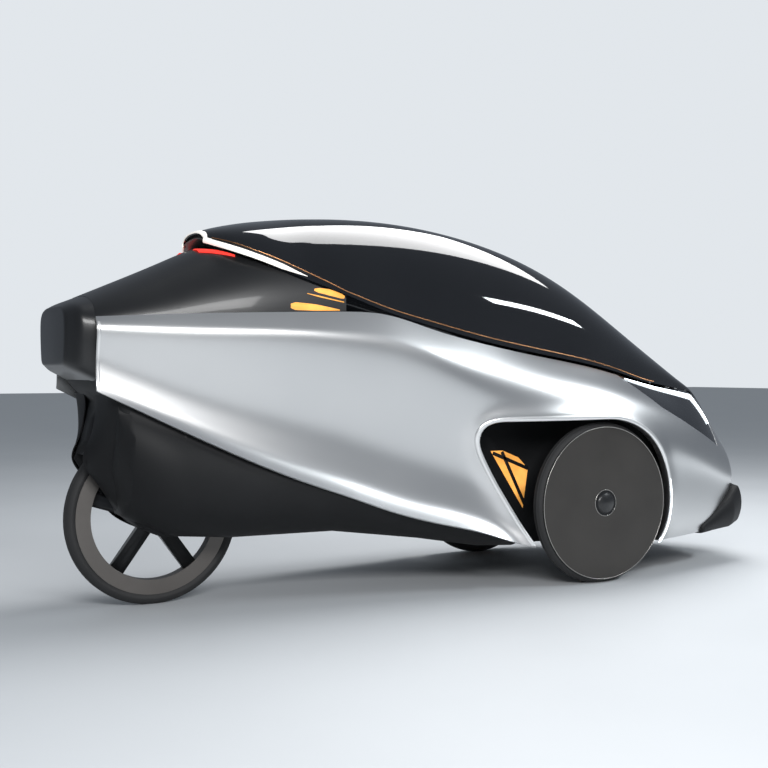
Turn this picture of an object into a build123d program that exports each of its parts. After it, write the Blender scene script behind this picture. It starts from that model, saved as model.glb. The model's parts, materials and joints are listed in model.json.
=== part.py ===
"""Enclosed electric tricycle: two covered steering wheels in front, one driven wheel behind,
a tub with silver side panels, a tail shell and a one-piece canopy that tilts forward.

Millimetres. +X points to the nose, +Y to the left side, +Z up. The origin lies on the ground
under the middle of the overall length.
"""

import math
import os

from build123d import *

# Driving dimensions
WHEEL_R = 250.0
WHEELBASE = 1331.0
REAR_AXLE_X = -880.0
FRONT_AXLE_X = REAR_AXLE_X + WHEELBASE
FRONT_TRACK = 694.0
WHEEL_Y = FRONT_TRACK / 2
TYRE_WIDTH = 44.0
# Shift that brings the middle of the overall length over the origin
BODY_SHIFT_X = -52.5
AXLE_Z = WHEEL_R

# Walls and clearances
PANEL_WALL = 5.0
TUB_WALL = 6.0
GLASS_WALL = 5.0
DECK_WALL = 5.0
LINER_WALL = 4.0
SHUT_GAP = 6.0
FIT = 0.05
SEAT_GAP = 0.3
LENS_GAP = 0.5
LAMP_DEPTH = 20.0
CUT_REACH = 250.0

# Wheels
TYRE_INNER_R = WHEEL_R - 28.0
RIM_R = TYRE_INNER_R - SEAT_GAP
COVER_R = WHEEL_R - 13.0
COVER_T = 4.0
CAP_R = 34.0
CAP_T = 6.0
FRONT_HUB_R = 26.0
REAR_RIM_INNER_R = WHEEL_R - 70.0
REAR_HUB_R = 46.0
SPOKE_COUNT = 5
SPOKE_WIDTH = 40.0
SPOKE_THICK = 24.0
REAR_AXLE_R = 8.0

# Steering
KINGPIN_INSET = 50.0
KINGPIN_Y = WHEEL_Y - KINGPIN_INSET
KINGPIN_R = 8.0
STUB_R = 10.0
SLEEVE_R = 15.0
SLEEVE_HALF = 32.0
LUG_GAP = 2.0
LUG_T = 10.0
BEAM_R = 20.0

# Front wheel opening and the wells behind it
ARCH_R = WHEEL_R + 12.0
WELL_GROW = 18.0
WELL_INNER_Y = WHEEL_Y - 143.0
REAR_WELL_R = WHEEL_R + 18.0
REAR_WELL_HALF = 40.0

# Canopy hinge across the nose
HINGE_X = FRONT_AXLE_X + 661.0
HINGE_Z = 466.0
HINGE_PIN_R = 7.0
HINGE_SLEEVE_R = 12.0
HINGE_HALF = 30.0

# Steering column
COLUMN_TOP = (30.0, 0.0, 560.0)
COLUMN_TILT = 13.0
COLUMN_R = 14.0
COLUMN_PIN_R = 8.0

os.makedirs("parts", exist_ok=True)


def save(shape, name):
    """Label a finished piece and write it as one STEP file."""
    placed = shape.moved(Location((BODY_SHIFT_X, 0, 0)))
    placed.label = name
    export_step(placed, f"parts/{name}.step")


def save_pair(left, name):
    """Write a left-hand piece and its right-hand twin."""
    save(left, f"{name}_left")
    save(left.mirror(Plane.XZ), f"{name}_right")


def named(columns, values):
    """One table row with its values under their column names."""
    return dict(zip(columns.split(), values))


def side_plane(y):
    """A side-view sketch plane at the given y; it is extruded towards -Y."""
    return Plane.XZ.offset(-y)


# Side panel
# x, y: plan position of the widest line; heading: outward direction, degrees from +Y to +X
# top, bulge, waist, sill: heights; in_top, in_waist, in_sill: inset from the widest line
PANEL_COLUMNS = "x y heading top in_top bulge waist in_waist sill in_sill"
PANEL_STATIONS = [
    (-1097, 234, 0, 802, 14, 765, 690, 12, 610, 4),
    (-830, 268, 0, 815, 22, 752, 600, 28, 480, 5),
    (-530, 297, 0, 825, 26, 742, 520, 40, 352, 4),
    (-400, 308, 0, 828, 29, 730, 487, 44, 306, 4),
    (-280, 318, 0, 822, 32, 712, 450, 46, 262, 3),
    (-130, 333, 0, 782, 37, 662, 405, 46, 219, 3),
    (20, 348, 0, 746, 44, 600, 360, 42, 182, 4),
    (220, 374, 0, 709, 68, 540, 330, 24, 122, 8),
    (FRONT_AXLE_X, 390, 0, 671, 86, 500, 330, 8, 115, 18),
    (FRONT_AXLE_X + 249, 378, 8, 619, 98, 440, 300, 8, 115, 26),
    (FRONT_AXLE_X + 389, 350, 15, 601, 103, 400, 285, 8, 118, 26),
    (FRONT_AXLE_X + 539, 300, 23, 575, 85, 350, 260, 8, 128, 24),
    (FRONT_AXLE_X + 639, 252, 33, 487, 74, 315, 245, 8, 150, 22),
    (FRONT_AXLE_X + 709, 205, 52, 432, 68, 295, 240, 8, 175, 20),
    (FRONT_AXLE_X + 771, 0, 90, 420, 66, 300, 255, 6, 205, 14),
]


def station_plane(row):
    """A section plane whose first axis points outward and whose second points up."""
    angle = math.radians(row["heading"])
    outward = Vector(math.sin(angle), math.cos(angle), 0)
    return Plane(origin=(row["x"], row["y"], 0), x_dir=outward, z_dir=outward.cross(Vector(0, 0, 1)))


def panel_side(row, offset):
    """Corner points of one panel section, from its top edge to its sill."""
    top = (offset - row["in_top"], row["top"])
    bulge = (offset, row["bulge"])
    waist = (offset - row["in_waist"], row["waist"])
    middle = ((bulge[0] + waist[0]) / 2, (bulge[1] + waist[1]) / 2)
    sill = (offset - row["in_sill"], row["sill"])
    return top, bulge, middle, waist, sill


def panel_loft(outer, inner):
    """A skin between two offsets from the left panel's face, from the tail to the nose's middle."""
    with BuildPart() as skin:
        for values in PANEL_STATIONS:
            row = named(PANEL_COLUMNS, values)
            with BuildSketch(station_plane(row)):
                with BuildLine():
                    for offset in (outer, inner):
                        top, bulge, middle, waist, sill = panel_side(row, offset)
                        TangentArc(bulge, top, tangent=(0, 1))
                        upper = TangentArc(bulge, middle, tangent=(0, -1))
                        TangentArc(middle, waist, tangent=upper % 1)
                        TangentArc(waist, sill, tangent=(0, -1))
                    Line(panel_side(row, outer)[0], panel_side(row, inner)[0])
                    Line(panel_side(row, outer)[-1], panel_side(row, inner)[-1])
                make_face()
        loft(ruled=True)
    return skin.part


# Tub
# belly: half width and height of the flat bottom; sill, waist and rim: points up the side
TUB_COLUMNS = "x belly_y belly_z sill_y sill_z waist_y waist_z rim_y rim_z"
TUB_STATIONS = [
    (-1090, 120, 636, 196, 652, 202, 690, 203, 780),
    (-1040, 112, 572, 204, 592, 211, 660, 210, 782),
    (-1034, 96, 380, 205, 560, 214, 640, 211, 783),
    (-1000, 112, 268, 222, 545, 218, 620, 216, 785),
    (-880, 118, 206, 240, 490, 226, 575, 228, 790),
    (-700, 140, 193, 258, 410, 237, 500, 242, 795),
    (-400, 180, 196, 290, 300, 252, 390, 264, 800),
    (-130, 205, 160, 314, 218, 275, 310, 280, 752),
    (60, 240, 128, 332, 172, 301, 250, 290, 705),
    (300, 280, 118, 352, 132, 346, 200, 292, 665),
    (FRONT_AXLE_X + 169, 270, 118, 342, 130, 342, 200, 276, 605),
    (FRONT_AXLE_X + 409, 215, 122, 290, 140, 290, 200, 232, 560),
    (FRONT_AXLE_X + 649, 130, 145, 205, 180, 203, 240, 150, 405),
]
# Standoffs on the tub that carry the side panels, x and z of their middles
STANDOFFS = [(-980, 640), (-600, 520), (-130, 420), (60, 640), (FRONT_AXLE_X + 169, 562), (FRONT_AXLE_X + 349, 250)]
STANDOFF_HALF = 14.0


def tub_loft(wall, rise):
    """The tub's outside when wall is 0, or its cavity when wall is the wall thickness."""
    last = len(TUB_STATIONS) - 1
    with BuildPart() as body:
        for index, values in enumerate(TUB_STATIONS):
            row = named(TUB_COLUMNS, values)
            x = row["x"] + (wall if index == 0 else -wall if index == last else 0)
            floor = row["belly_z"] + wall
            belly = row["belly_y"] - wall / 2
            sill = row["sill_y"] - wall
            waist = row["waist_y"] - wall
            rim = row["rim_y"] - wall
            rim_z = row["rim_z"] + rise
            with BuildSketch(Plane(origin=(x, 0, 0), x_dir=(0, 1, 0), z_dir=(1, 0, 0))):
                with BuildLine():
                    Line((-belly, floor), (belly, floor))
                    for side in (1, -1):
                        TangentArc((side * belly, floor), (side * sill, row["sill_z"]), tangent=(side, 0.25))
                        Line((side * sill, row["sill_z"]), (side * waist, row["waist_z"]))
                        Line((side * waist, row["waist_z"]), (side * rim, rim_z))
                    Line((-rim, rim_z), (rim, rim_z))
                make_face()
        loft(ruled=True)
    return body.part


# Canopy and rear deck
# half: half width at the lower edge; edge: its height; crown: height on the middle line
ARCH_COLUMNS = "x half edge crown"
CANOPY_STATIONS = [
    (-776, 110, 1028, 1056),
    (-728, 184, 1004, 1069),
    (-660, 228, 974, 1085),
    (-530, 257, 922, 1106),
    (-400, 273, 876, 1119),
    (-280, 286, 832, 1124),
    (-130, 296, 791, 1120),
    (20, 304, 755, 1103),
    (220, 306, 718, 1060),
    (FRONT_AXLE_X, 304, 680, 966),
    (FRONT_AXLE_X + 129, 294, 653, 882),
    (FRONT_AXLE_X + 235, 280, 628, 810),
    (FRONT_AXLE_X + 362, 249, 610, 744),
    (FRONT_AXLE_X + 448, 234, 597, 700),
    (FRONT_AXLE_X + 505, 219, 584, 668),
    (FRONT_AXLE_X + 560, 200, 534, 624),
    (FRONT_AXLE_X + 598, 184, 497, 592),
    (FRONT_AXLE_X + 652, 142, 444, 536),
    (FRONT_AXLE_X + 686, 56, 432, 472),
]
DECK_STATIONS = [
    (-1090, 204, 774, 866),
    (-1000, 222, 778, 905),
    (-880, 231, 784, 958),
    (-780, 240, 788, 1004),
    (-660, 253, 792, 1054),
    (-530, 263, 794, 1096),
    (-400, 273, 796, 1108),
]
# The canopy's lower edge in side view, from the tail lip to the nose, x and z
CANOPY_LINE = [(-830, 1042), (-740, 1008), (-660, 974), (-530, 922), (-400, 876), (-280, 832), (70, 745)]


def arch_loft(stations, wall, drop):
    """A vaulted body from a table of arch sections; wall insets it and drop lowers its open edge."""
    last = len(stations) - 1
    with BuildPart() as body:
        for index, values in enumerate(stations):
            row = named(ARCH_COLUMNS, values)
            x = row["x"] + (wall if index == 0 else -wall if index == last else 0)
            half = row["half"] - wall
            crown = row["crown"] - wall
            edge = row["edge"] - drop
            rise = row["crown"] - row["edge"]
            hip = (half * 0.74, row["edge"] + rise * 0.74 - wall * 0.7)
            with BuildSketch(Plane(origin=(x, 0, 0), x_dir=(0, 1, 0), z_dir=(1, 0, 0))):
                with BuildLine():
                    top = ThreePointArc((-hip[0], hip[1]), (0, crown), hip)
                    TangentArc(hip, (half, edge), tangent=top % 1)
                    TangentArc((-hip[0], hip[1]), (-half, edge), tangent=-(top % 0))
                    Line((-half, edge), (half, edge))
                make_face()
        loft(ruled=True)
    return body.part


def arch_outline(grow):
    """The front wheel opening in side view: slanted back edge, level top and round front."""
    radius = ARCH_R + grow
    top = AXLE_Z + radius
    heel = (FRONT_AXLE_X - 426 - grow, 415)
    foot = (FRONT_AXLE_X - 183 - grow, -10)
    crown = (FRONT_AXLE_X - 379 - grow, top)
    over = (FRONT_AXLE_X, top)
    front = (FRONT_AXLE_X + radius, AXLE_Z)
    drop = math.radians(35)
    toe = (FRONT_AXLE_X + radius * math.cos(drop), AXLE_Z - radius * math.sin(drop))
    Line(foot, heel)
    TangentArc(heel, crown, tangent=(heel[0] - foot[0], heel[1] - foot[1]))
    Line(crown, over)
    bend = math.radians(45)
    ThreePointArc(over, (over[0] + radius * math.sin(bend), AXLE_Z + radius * math.cos(bend)), front)
    TangentArc(front, toe, tangent=(0, -1))
    Line(toe, (toe[0], -10))
    Line((toe[0], -10), foot)


def arch_prism(grow, inner_y, outer_y):
    """The wheel opening's outline as a block on the left side."""
    with BuildPart() as block:
        with BuildSketch(side_plane(outer_y)):
            with BuildLine():
                arch_outline(grow)
            make_face()
        extrude(amount=outer_y - inner_y)
    return block.part


def side_prism(points, inner_y, outer_y, inset=0.0):
    """A side-view polygon as a block between two y values."""
    with BuildPart() as block:
        with BuildSketch(side_plane(outer_y)):
            with BuildLine():
                Polyline(*points, close=True)
            make_face()
            if inset:
                offset(amount=-inset, mode=Mode.REPLACE)
        extrude(amount=outer_y - inner_y)
    return block.part


def box_between(low, high):
    """A plain block from its low corner to its high corner."""
    size = [b - a for a, b in zip(low, high)]
    middle = [(a + b) / 2 for a, b in zip(low, high)]
    with BuildPart() as block:
        with Locations(Location(middle)):
            Box(*size)
    return block.part


def rod(start, direction, length, radius):
    """A round rod from a start point along a direction."""
    with BuildPart() as bar:
        with BuildSketch(Plane(origin=start, z_dir=direction)):
            Circle(radius)
        extrude(amount=length)
    return bar.part


# Shapes shared by several pieces
# Ahead and up from the point on the ground under the front axle
LAMP_REACH = [(105, 650), (262, 541), (429, 464), (589, 409), (661, 474), (661, 700), (105, 700)]
WINDOW_REACH = [(-318, 412), (-271, 412), (-211, 388), (-175, 352), (-195, 226)]
LAMP_OUTLINE = [(FRONT_AXLE_X + ahead, up) for ahead, up in LAMP_REACH]
INDICATOR_OUTLINE = [(-565, 838), (-495, 890), (-405, 862), (-318, 838)]
DECK_END_X = -408.0
WINDOW_OUTLINE = [(FRONT_AXLE_X + ahead, up) for ahead, up in WINDOW_REACH]

# Cheeks that carry the tub's rear corner down past the rear tyre
CHEEK_OUTLINE = [(-1000, 300), (-1058, 368), (-1088, 416), (-1070, 470), (-1054, 530), (-1044, 580), (-1000, 610)]
CHEEK_HALF = 72.0

outer_zone = panel_loft(CUT_REACH, -PANEL_WALL)
tub_outside = tub_loft(0, 0)
cavity = tub_loft(TUB_WALL, 20)
arch_cut = arch_prism(0, WHEEL_Y - 97, 450)
well_cut = arch_prism(WELL_GROW + LINER_WALL, WELL_INNER_Y, 450)
lamp_cut = side_prism(LAMP_OUTLINE, 0, 450)

# Silver side panels
with BuildPart() as side_panel:
    add(panel_loft(0, -PANEL_WALL))
    add(arch_cut, mode=Mode.SUBTRACT)
    add(lamp_cut, mode=Mode.SUBTRACT)
save_pair(side_panel.part, "side_panel")

# Headlamps that fill the panels' cut-outs
with BuildPart() as headlamp:
    add(panel_loft(0, -LAMP_DEPTH))
    add(side_prism(LAMP_OUTLINE, 0, 450, LENS_GAP), mode=Mode.INTERSECT)
save_pair(headlamp.part, "headlamp")

# Rear wheel well: an upturned trough round the top of the rear tyre
rear_well_low = 120.0
with BuildPart() as rear_well:
    for radius, half, mode in (
        (REAR_WELL_R + LINER_WALL, REAR_WELL_HALF + LINER_WALL, Mode.ADD),
        (REAR_WELL_R, REAR_WELL_HALF, Mode.SUBTRACT),
    ):
        with BuildSketch(side_plane(half)):
            with Locations((REAR_AXLE_X, AXLE_Z)):
                Circle(radius)
            with Locations((REAR_AXLE_X, (AXLE_Z + rear_well_low) / 2)):
                Rectangle(2 * radius, AXLE_Z - rear_well_low)
        extrude(amount=2 * half, mode=mode)
    add(tub_outside, mode=Mode.INTERSECT)
    add(rod((REAR_AXLE_X, 60, AXLE_Z), (0, -1, 0), 120, REAR_AXLE_R), mode=Mode.SUBTRACT)
save(rear_well.part, "rear_wheel_well")

with BuildPart() as rear_slot:
    with BuildSketch(side_plane(REAR_WELL_HALF + LINER_WALL)):
        with Locations((REAR_AXLE_X, AXLE_Z)):
            Circle(REAR_WELL_R + LINER_WALL)
        with Locations((REAR_AXLE_X, AXLE_Z / 2)):
            Rectangle(2 * (REAR_WELL_R + LINER_WALL), AXLE_Z)
    extrude(amount=2 * (REAR_WELL_HALF + LINER_WALL))

# Tub with its floor, open at the top, cut out for the three wheels
with BuildPart() as standoffs:
    for x, z in STANDOFFS:
        low = (x - STANDOFF_HALF, 120, z - STANDOFF_HALF)
        add(box_between(low, (x + STANDOFF_HALF, 420, z + STANDOFF_HALF)))
    add(outer_zone, mode=Mode.SUBTRACT)
with BuildPart() as tub:
    add(tub_outside)
    add(side_prism(CHEEK_OUTLINE, -CHEEK_HALF, CHEEK_HALF))
    for piece in standoffs.part.solids():
        add(piece)
        add(piece.mirror(Plane.XZ))
    add(cavity, mode=Mode.SUBTRACT)
    add(rear_slot.part, mode=Mode.SUBTRACT)
    add(well_cut, mode=Mode.SUBTRACT)
    add(well_cut.mirror(Plane.XZ), mode=Mode.SUBTRACT)
save(tub.part, "tub")

# Front wheel wells with an amber window in their inner walls
with BuildPart() as front_well:
    add(arch_prism(WELL_GROW + LINER_WALL, WELL_INNER_Y, 420))
    add(arch_prism(WELL_GROW, WELL_INNER_Y + LINER_WALL, 450), mode=Mode.SUBTRACT)
    add(tub_outside, mode=Mode.INTERSECT)
    add(side_prism(WINDOW_OUTLINE, WELL_INNER_Y - 14, WELL_INNER_Y + 11), mode=Mode.SUBTRACT)
    add(rod((FRONT_AXLE_X, WELL_INNER_Y - 14, AXLE_Z), (0, 1, 0), 30, BEAM_R), mode=Mode.SUBTRACT)
save_pair(front_well.part, "front_wheel_well")

with BuildPart() as well_lamp:
    add(side_prism(WINDOW_OUTLINE, WELL_INNER_Y - 8, WELL_INNER_Y + LINER_WALL - 1, LENS_GAP))
save_pair(well_lamp.part, "well_lamp")

# Rear deck: the vault behind the canopy, with a recess for an indicator on each side
deck_outside = arch_loft(DECK_STATIONS, 0, 0)
deck_over = [(x, z - SHUT_GAP) for x, z in CANOPY_LINE] + [(70, 1250), (-830, 1250)]
with BuildPart() as rear_deck:
    add(deck_outside)
    add(arch_loft(DECK_STATIONS, DECK_WALL, 30), mode=Mode.SUBTRACT)
    add(side_prism(deck_over, -450, 450), mode=Mode.SUBTRACT)
    add(box_between((DECK_END_X, -450, 700), (-200, 450, 1250)), mode=Mode.SUBTRACT)
    add(side_prism(INDICATOR_OUTLINE, 150, 450), mode=Mode.SUBTRACT)
    add(side_prism(INDICATOR_OUTLINE, -450, -150), mode=Mode.SUBTRACT)
    add(tub_outside, mode=Mode.SUBTRACT)
save(rear_deck.part, "rear_deck")

with BuildPart() as indicator:
    add(side_prism(INDICATOR_OUTLINE, 222, 300, LENS_GAP))
    add(arch_loft(DECK_STATIONS, DECK_WALL / 2, 30), mode=Mode.INTERSECT)
    add(tub_outside, mode=Mode.SUBTRACT)
save_pair(indicator.part, "indicator")

# Tail panel that closes the body behind the rear wheel
# half, edge, crown: as for the deck; low, foot: height and half width of the lower edge
TAIL_COLUMNS = "x half edge crown low foot"
TAIL_STATIONS = [
    (-1090, 204, 774, 866, 636, 190),
    (-1115, 198, 773, 855, 650, 182),
    (-1138, 184, 771, 845, 662, 168),
    (-1155, 152, 768, 836, 674, 138),
]
with BuildPart() as tail_panel:
    for values in TAIL_STATIONS:
        row = named(TAIL_COLUMNS, values)
        half, edge, low, foot = row["half"], row["edge"], row["low"], row["foot"]
        hip = (half * 0.74, edge + (row["crown"] - edge) * 0.74)
        with BuildSketch(Plane(origin=(row["x"], 0, 0), x_dir=(0, 1, 0), z_dir=(1, 0, 0))):
            with BuildLine():
                top = ThreePointArc((-hip[0], hip[1]), (0, row["crown"]), hip)
                TangentArc(hip, (half, edge), tangent=top % 1)
                TangentArc((-hip[0], hip[1]), (-half, edge), tangent=-(top % 0))
                Polyline((half, edge), (foot, low), (-foot, low), (-half, edge))
            make_face()
    loft(ruled=True)
save(tail_panel.part, "tail_panel")

# Tail lamp: a curved bar on the deck under the canopy's rear lip
with BuildPart() as tail_lamp:
    add(box_between((-786, -130, 985), (-772, 130, 1016)))
    add(deck_outside, mode=Mode.SUBTRACT)
save(tail_lamp.part, "tail_lamp")

# Front bumper round the foot of the nose
# face: how far it stands out from the side panel's widest line; low, high: heights
BUMPER_COLUMNS = "x y heading face low high"
BUMPER_STATIONS = [
    (FRONT_AXLE_X + 470, 324, 19, -8, 112, 148),
    (FRONT_AXLE_X + 639, 252, 33, 26, 120, 222),
    (FRONT_AXLE_X + 709, 205, 52, 36, 130, 256),
    (FRONT_AXLE_X + 771, 0, 90, 38, 150, 276),
]
BUMPER_DEPTH = 55.0
with BuildPart() as bumper_half:
    for values in BUMPER_STATIONS:
        row = named(BUMPER_COLUMNS, values)
        back = row["face"] - BUMPER_DEPTH
        with BuildSketch(station_plane(row)):
            with BuildLine():
                Line((back, row["high"]), (row["face"] - 12, row["high"]))
                ThreePointArc(
                    (row["face"] - 12, row["high"]),
                    (row["face"], (row["high"] + row["low"]) / 2 + 8),
                    (row["face"] - 16, row["low"]),
                )
                Line((row["face"] - 16, row["low"]), (back, row["low"]))
                Line((back, row["low"]), (back, row["high"]))
            make_face()
    loft(ruled=True)
    add(panel_loft(0, -PANEL_WALL), mode=Mode.SUBTRACT)
    add(tub_outside, mode=Mode.SUBTRACT)
with BuildPart() as front_bumper:
    add(bumper_half.part)
    add(bumper_half.part.mirror(Plane.XZ))
save(front_bumper.part, "front_bumper")

# Canopy with the hinge arm bonded inside its nose
canopy_inside = arch_loft(CANOPY_STATIONS, GLASS_WALL, 30)
with BuildPart() as canopy:
    add(arch_loft(CANOPY_STATIONS, 0, 0))
    add(canopy_inside, mode=Mode.SUBTRACT)
save(canopy.part, "canopy")

hinge_pin = rod((HINGE_X, -HINGE_HALF - 14, HINGE_Z), (0, 1, 0), 2 * (HINGE_HALF + 14), HINGE_PIN_R)
with BuildPart() as canopy_arm:
    add(box_between((HINGE_X - 10, -HINGE_HALF, HINGE_Z), (HINGE_X + 10, HINGE_HALF, 600)))
    add(canopy_inside, mode=Mode.INTERSECT)
    add(rod((HINGE_X, -HINGE_HALF, HINGE_Z), (0, 1, 0), 2 * HINGE_HALF, HINGE_SLEEVE_R))
    add(rod((HINGE_X, -60, HINGE_Z), (0, 1, 0), 120, HINGE_PIN_R + FIT), mode=Mode.SUBTRACT)
save(canopy_arm.part, "canopy_arm")

with BuildPart() as hinge_bracket:
    add(box_between((HINGE_X - 64, -60, 100), (HINGE_X - 36, 60, 396)))
    add(cavity, mode=Mode.INTERSECT)
    for side in (1, -1):
        low_y, high_y = sorted((side * (HINGE_HALF + 2), side * (HINGE_HALF + 14)))
        add(side_prism(
            [(HINGE_X - 64, 360), (HINGE_X - 36, 340), (HINGE_X + 6, HINGE_Z - 12), (HINGE_X + 10, HINGE_Z),
             (HINGE_X + 4, HINGE_Z + 10), (HINGE_X - 10, HINGE_Z + 8), (HINGE_X - 64, 396)],
            low_y, high_y))
    add(hinge_pin)
    add(tub.part, mode=Mode.SUBTRACT)
save(hinge_bracket.part, "hinge_bracket")

# Front axle: a cross beam on two posts, with a forked kingpin end on each side
lug_z = SLEEVE_HALF + LUG_GAP
with BuildPart() as front_axle:
    beam_end = KINGPIN_Y - 35
    add(rod((FRONT_AXLE_X, -beam_end, AXLE_Z), (0, 1, 0), 2 * beam_end, BEAM_R))
    for side in (1, -1):
        post = box_between((FRONT_AXLE_X - 25, side * 120 - 12, 90), (FRONT_AXLE_X + 25, side * 120 + 12, AXLE_Z))
        add(post.intersect(cavity))
        web = sorted((side * (KINGPIN_Y - 41), side * (KINGPIN_Y - 27)))
        add(box_between((FRONT_AXLE_X - 14, web[0], AXLE_Z - lug_z - LUG_T),
                        (FRONT_AXLE_X + 14, web[1], AXLE_Z + lug_z + LUG_T)))
        for up in (1, -1):
            heights = sorted((AXLE_Z + up * lug_z, AXLE_Z + up * (lug_z + LUG_T)))
            reach = sorted((side * (KINGPIN_Y - 41), side * (KINGPIN_Y + 13)))
            add(box_between((FRONT_AXLE_X - 13, reach[0], heights[0]), (FRONT_AXLE_X + 13, reach[1], heights[1])))
        add(rod((FRONT_AXLE_X, side * KINGPIN_Y, AXLE_Z - lug_z - 4), (0, 0, 1), 2 * lug_z + 8, KINGPIN_R))
save(front_axle.part, "front_axle")

# Steering knuckles with stub axles and arms
with BuildPart() as knuckle:
    add(rod((FRONT_AXLE_X, KINGPIN_Y, AXLE_Z - SLEEVE_HALF), (0, 0, 1), 2 * SLEEVE_HALF, SLEEVE_R))
    add(rod((FRONT_AXLE_X, KINGPIN_Y, AXLE_Z), (0, 1, 0), WHEEL_Y + 25 - KINGPIN_Y, STUB_R))
    add(box_between((FRONT_AXLE_X - 70, KINGPIN_Y - 9, AXLE_Z - 26), (FRONT_AXLE_X, KINGPIN_Y + 9, AXLE_Z - 16)))
    add(rod((FRONT_AXLE_X, KINGPIN_Y, AXLE_Z - 60), (0, 0, 1), 120, KINGPIN_R + FIT), mode=Mode.SUBTRACT)
save_pair(knuckle.part, "knuckle")


def turned(profile, centre):
    """A wheel piece turned about a cross axle; profile holds radius and y pairs."""
    with BuildPart() as ring:
        with BuildSketch(Plane(origin=centre, x_dir=(0, 0, 1), z_dir=(1, 0, 0))):
            with BuildLine():
                Polyline(*[(radius, -y) for radius, y in profile], close=True)
            make_face()
        revolve(axis=Axis(centre, (0, 1, 0)))
    return ring.part


def tyre(centre):
    """A plain tyre with a round crown."""
    half = TYRE_WIDTH / 2
    with BuildPart() as ring:
        with BuildSketch(Plane(origin=centre, x_dir=(0, 0, 1), z_dir=(1, 0, 0))):
            with BuildLine():
                Line((TYRE_INNER_R, -half + 6), (TYRE_INNER_R, half - 6))
                Line((TYRE_INNER_R, half - 6), (TYRE_INNER_R + 9, half))
                ThreePointArc((TYRE_INNER_R + 9, half), (WHEEL_R, 0), (TYRE_INNER_R + 9, -half))
                Line((TYRE_INNER_R + 9, -half), (TYRE_INNER_R, -half + 6))
            make_face()
        revolve(axis=Axis(centre, (0, 1, 0)))
    return ring.part


# Front wheels: tyre, rim with a full cover, hub cap
front_centre = (FRONT_AXLE_X, WHEEL_Y, AXLE_Z)
cover_y = TYRE_WIDTH / 2 + 2
bore = STUB_R + FIT
save_pair(tyre(front_centre), "front_tyre")
front_disc = turned(
    [
        (bore, -20), (FRONT_HUB_R, -20), (FRONT_HUB_R, cover_y), (RIM_R - 15, cover_y), (RIM_R - 15, -14),
        (RIM_R, -14), (RIM_R, cover_y), (COVER_R, cover_y), (COVER_R, cover_y + COVER_T),
        (bore, cover_y + COVER_T),
    ],
    front_centre,
)
save_pair(front_disc, "front_disc")
cap_y = cover_y + COVER_T
front_cap = turned([(0, cap_y), (CAP_R, cap_y), (CAP_R - 6, cap_y + CAP_T), (0, cap_y + CAP_T)], front_centre)
save_pair(front_cap, "front_cap")

# Rear wheel: tyre, rim ring, five-spoke spider with the motor hub
rear_centre = (REAR_AXLE_X, 0, AXLE_Z)
save(tyre(rear_centre), "rear_tyre")
save(turned([(REAR_RIM_INNER_R, -17), (RIM_R, -17), (RIM_R, 17), (REAR_RIM_INNER_R, 17)], rear_centre), "rear_rim")
with BuildPart() as rear_spider:
    add(turned([(REAR_AXLE_R + FIT, -30), (REAR_HUB_R, -30), (REAR_HUB_R, 30), (REAR_AXLE_R + FIT, 30)], rear_centre))
    with BuildSketch(side_plane(SPOKE_THICK / 2)):
        with Locations((REAR_AXLE_X, AXLE_Z)):
            with PolarLocations(0, SPOKE_COUNT, start_angle=90):
                with Locations((REAR_HUB_R - 8, 0)):
                    Rectangle(150, SPOKE_WIDTH, align=(Align.MIN, Align.CENTER))
    extrude(amount=SPOKE_THICK)
    spoke_round = turned(
        [(REAR_AXLE_R + FIT, -40), (REAR_RIM_INNER_R - SEAT_GAP, -40), (REAR_RIM_INNER_R - SEAT_GAP, 40),
         (REAR_AXLE_R + FIT, 40)],
        rear_centre,
    )
    add(spoke_round, mode=Mode.INTERSECT)
save(rear_spider.part, "rear_spider")

# Rear axle on two plates that stand on the tub's floor beside the well
with BuildPart() as rear_axle:
    for side in (1, -1):
        plate_y = sorted((side * (REAR_WELL_HALF + LINER_WALL), side * (REAR_WELL_HALF + LINER_WALL + 8)))
        plate = box_between((REAR_AXLE_X - 35, plate_y[0], 150), (REAR_AXLE_X + 60, plate_y[1], 320))
        add(plate.intersect(cavity))
    add(rod((REAR_AXLE_X, -(REAR_WELL_HALF + 14), AXLE_Z), (0, 1, 0), 2 * (REAR_WELL_HALF + 14), REAR_AXLE_R))
save(rear_axle.part, "rear_axle")

# Seat: a bent shell on the battery, with loose pads and a headrest
SEAT_LINE = [(-150, 345), (-420, 262), (-690, 905)]
SHELL_T = 12.0
PAD_T = 42.0
SEAT_HALF = 190.0


def seat_slab(low, high, half, start, end):
    """A slab along the seat line between two offsets from it, from one share of its run to another."""
    def along(points, share):
        return [a + (b - a) * share for a, b in zip(*points)]

    def lifted(points, distance):
        dx = points[1][0] - points[0][0]
        dz = points[1][1] - points[0][1]
        length = math.hypot(dx, dz)
        return [(x + dz / length * distance, z - dx / length * distance) for x, z in points]

    base = [along(SEAT_PART[start[0]], start[1]), along(SEAT_PART[start[0]], end[1])]
    lower = lifted(base, low)
    upper = lifted(base, high)
    return side_prism(lower + upper[::-1], -half, half)


SEAT_PART = {"squab": SEAT_LINE[:2], "back": SEAT_LINE[1:]}
with BuildPart() as seat_shell:
    add(seat_slab(0, SHELL_T, SEAT_HALF, ("squab", 0.0), ("squab", 1.02)))
    add(seat_slab(0, SHELL_T, SEAT_HALF, ("back", -0.01), ("back", 1.0)))
save(seat_shell.part, "seat_shell")
save(seat_slab(SHELL_T, SHELL_T + PAD_T, 172, ("squab", 0.04), ("squab", 0.80)), "seat_pad")
save(seat_slab(SHELL_T, SHELL_T + PAD_T, 172, ("back", 0.11), ("back", 0.84)), "back_pad")
save(seat_slab(SHELL_T, SHELL_T + PAD_T, 95, ("back", 0.86), ("back", 1.08)), "headrest")

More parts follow.
